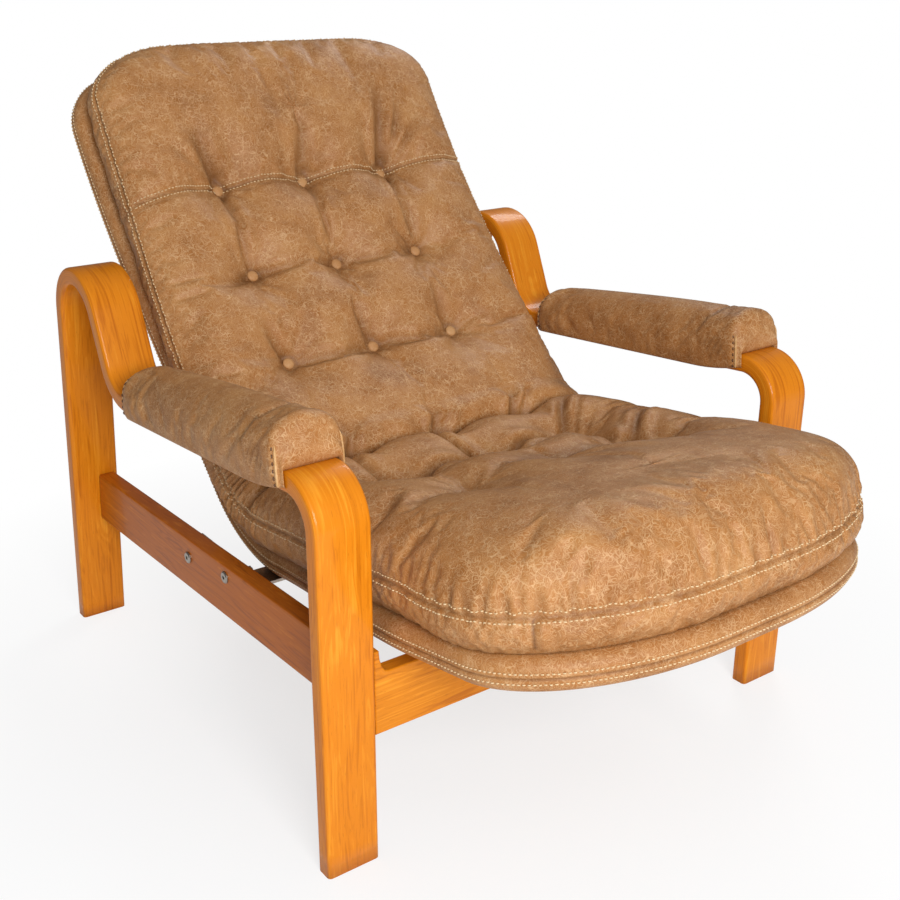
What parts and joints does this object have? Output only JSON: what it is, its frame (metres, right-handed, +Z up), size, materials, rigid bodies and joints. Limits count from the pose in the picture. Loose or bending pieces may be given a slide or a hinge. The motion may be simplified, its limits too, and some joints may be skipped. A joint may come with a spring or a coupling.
{
  "type": "cantilever lounge chair",
  "caption": "Low lounge chair: bent beech side loops, joined by rails, carry a J-shaped upholstered shell with a loose tufted leather cushion and padded arms.",
  "frame": {"origin": "on the floor, under the middle of the overall box", "axes": "+Z up, the sitter faces -Y, +X is the sitter's left"},
  "size_m": [0.7766, 1.1082, 0.8508],
  "materials": {
    "bentwood_beech": "clear gloss lacquer over honey stain",
    "rail_beech": "clear gloss lacquer over a darker stain",
    "dowel_beech": "raw, glued",
    "zinc_steel": "zinc plated, dulled",
    "tan_leather": "worn aniline with fine creases and pale topstitching",
    "button_leather": "worn aniline, stretched over the cap",
    "moulded_plywood": "raw, hidden"
  },
  "bodies": {
    "root": {"rail_dowel_front_lower_left": "dowel_beech", "rail_dowel_rear_lower_left": "dowel_beech", "rail_dowel_front_upper_left": "dowel_beech", "rail_dowel_rear_upper_left": "dowel_beech", "cross_dowel_front_lower_left": "dowel_beech", "cross_dowel_front_upper_left": "dowel_beech", "cross_dowel_back_lower_left": "dowel_beech", "cross_dowel_back_upper_left": "dowel_beech", "rail_bolt_rear_left": "zinc_steel", "rail_nut_rear_left": "zinc_steel", "rail_bolt_front_left": "zinc_steel", "rail_nut_front_left": "zinc_steel", "bracket_screw_rear_left": "zinc_steel", "bracket_screw_front_left": "zinc_steel", "side_frame_left": "bentwood_beech", "side_rail_left": "rail_beech", "shell_bracket_left": "zinc_steel", "arm_pad_left": "tan_leather", "arm_pad_flap_left": "tan_leather", "rail_dowel_front_lower_right": "dowel_beech", "rail_dowel_rear_lower_right": "dowel_beech", "rail_dowel_front_upper_right": "dowel_beech", "rail_dowel_rear_upper_right": "dowel_beech", "cross_dowel_front_lower_right": "dowel_beech", "cross_dowel_front_upper_right": "dowel_beech", "cross_dowel_back_lower_right": "dowel_beech", "cross_dowel_back_upper_right": "dowel_beech", "rail_bolt_rear_right": "zinc_steel", "rail_nut_rear_right": "zinc_steel", "rail_bolt_front_right": "zinc_steel", "rail_nut_front_right": "zinc_steel", "bracket_screw_rear_right": "zinc_steel", "bracket_screw_front_right": "zinc_steel", "side_frame_right": "bentwood_beech", "side_rail_right": "rail_beech", "shell_bracket_right": "zinc_steel", "arm_pad_right": "tan_leather", "arm_pad_flap_right": "tan_leather", "back_rail_screw_left": "zinc_steel", "back_rail_screw_right": "zinc_steel", "front_cross_rail": "rail_beech", "back_cross_rail": "rail_beech", "shell_core": "moulded_plywood", "shell_back_upholstery": "tan_leather", "shell_front_upholstery": "tan_leather", "main_cushion": "tan_leather", "button_head_left": "button_leather", "button_head_centre": "button_leather", "button_head_right": "button_leather", "button_middle_left": "button_leather", "button_middle_centre": "button_leather", "button_middle_right": "button_leather", "button_lumbar_left": "button_leather", "button_lumbar_centre": "button_leather", "button_lumbar_right": "button_leather", "button_seat_left": "button_leather", "button_seat_centre": "button_leather", "button_seat_right": "button_leather"}
  },
  "joints": []
}
